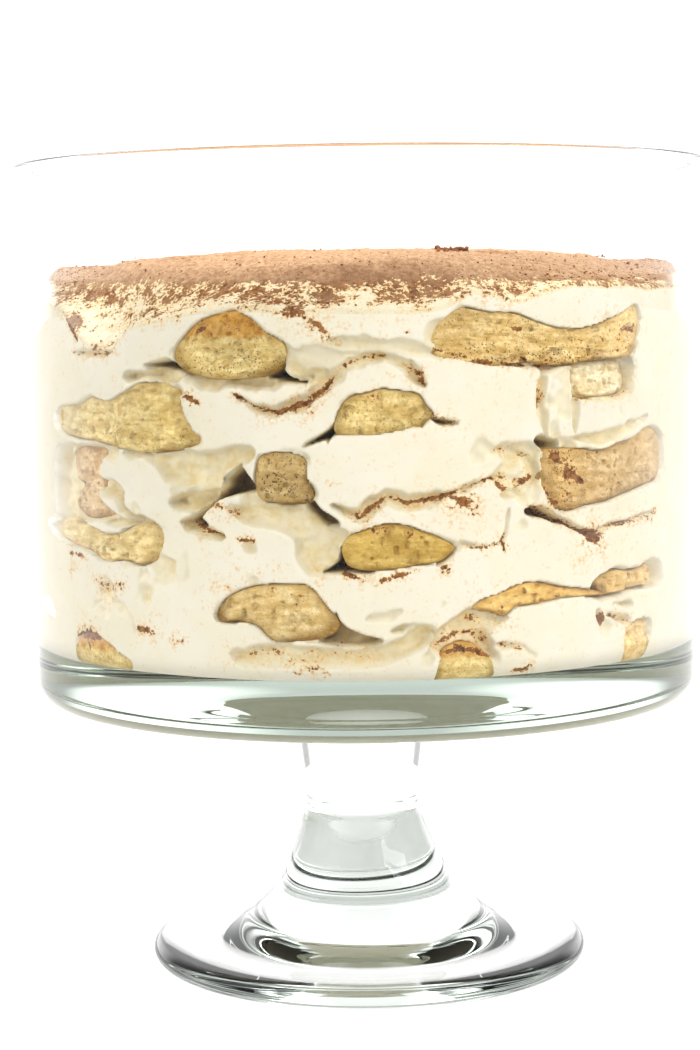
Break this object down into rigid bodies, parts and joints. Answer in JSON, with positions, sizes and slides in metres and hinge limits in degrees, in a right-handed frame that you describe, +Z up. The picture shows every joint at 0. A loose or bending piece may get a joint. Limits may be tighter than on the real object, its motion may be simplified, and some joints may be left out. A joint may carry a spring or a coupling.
{
  "type": "tiramisu",
  "caption": "Layered dessert of mascarpone cream and sponge fingers dusted with cocoa, served in its footed clear glass trifle bowl.",
  "frame": {"origin": "centre of the foot's underside, on the surface it stands on", "axes": "+Z up along the bowl's axis, -Y towards the side shown at the front, +X to that side's right"},
  "size_m": [0.212, 0.2124, 0.2414],
  "materials": {
    "glass": "clear, polished",
    "cream": "soft, slightly glossy cream",
    "sponge": "dry and porous",
    "cocoa": "powdery"
  },
  "bodies": {
    "root": {"cocoa_dusting": "cocoa", "cream_layer_1": "cream", "cream_layer_2": "cream", "cream_layer_3": "cream", "cream_layer_4": "cream", "cream_layer_5": "cream", "cream_layer_6": "cream", "finger_1_1": "sponge", "finger_1_2": "sponge", "finger_1_3": "sponge", "finger_1_4": "sponge", "finger_1_5": "sponge", "finger_1_6": "sponge", "finger_1_7": "sponge", "finger_2_1": "sponge", "finger_2_2": "sponge", "finger_2_3": "sponge", "finger_2_4": "sponge", "finger_2_5": "sponge", "finger_2_6": "sponge", "finger_3_1": "sponge", "finger_3_2": "sponge", "finger_3_3": "sponge", "finger_3_4": "sponge", "finger_3_5": "sponge", "finger_3_6": "sponge", "finger_4_1": "sponge", "finger_4_2": "sponge", "finger_4_3": "sponge", "finger_4_4": "sponge", "finger_4_5": "sponge", "finger_4_6": "sponge", "finger_5_1": "sponge", "finger_5_2": "sponge", "finger_5_3": "sponge", "finger_5_4": "sponge", "finger_5_5": "sponge", "finger_5_6": "sponge", "finger_5_7": "sponge", "finger_6_1": "sponge", "finger_6_2": "sponge", "finger_6_3": "sponge", "finger_6_4": "sponge", "finger_6_5": "sponge", "glass_bowl": "glass"}
  },
  "joints": []
}
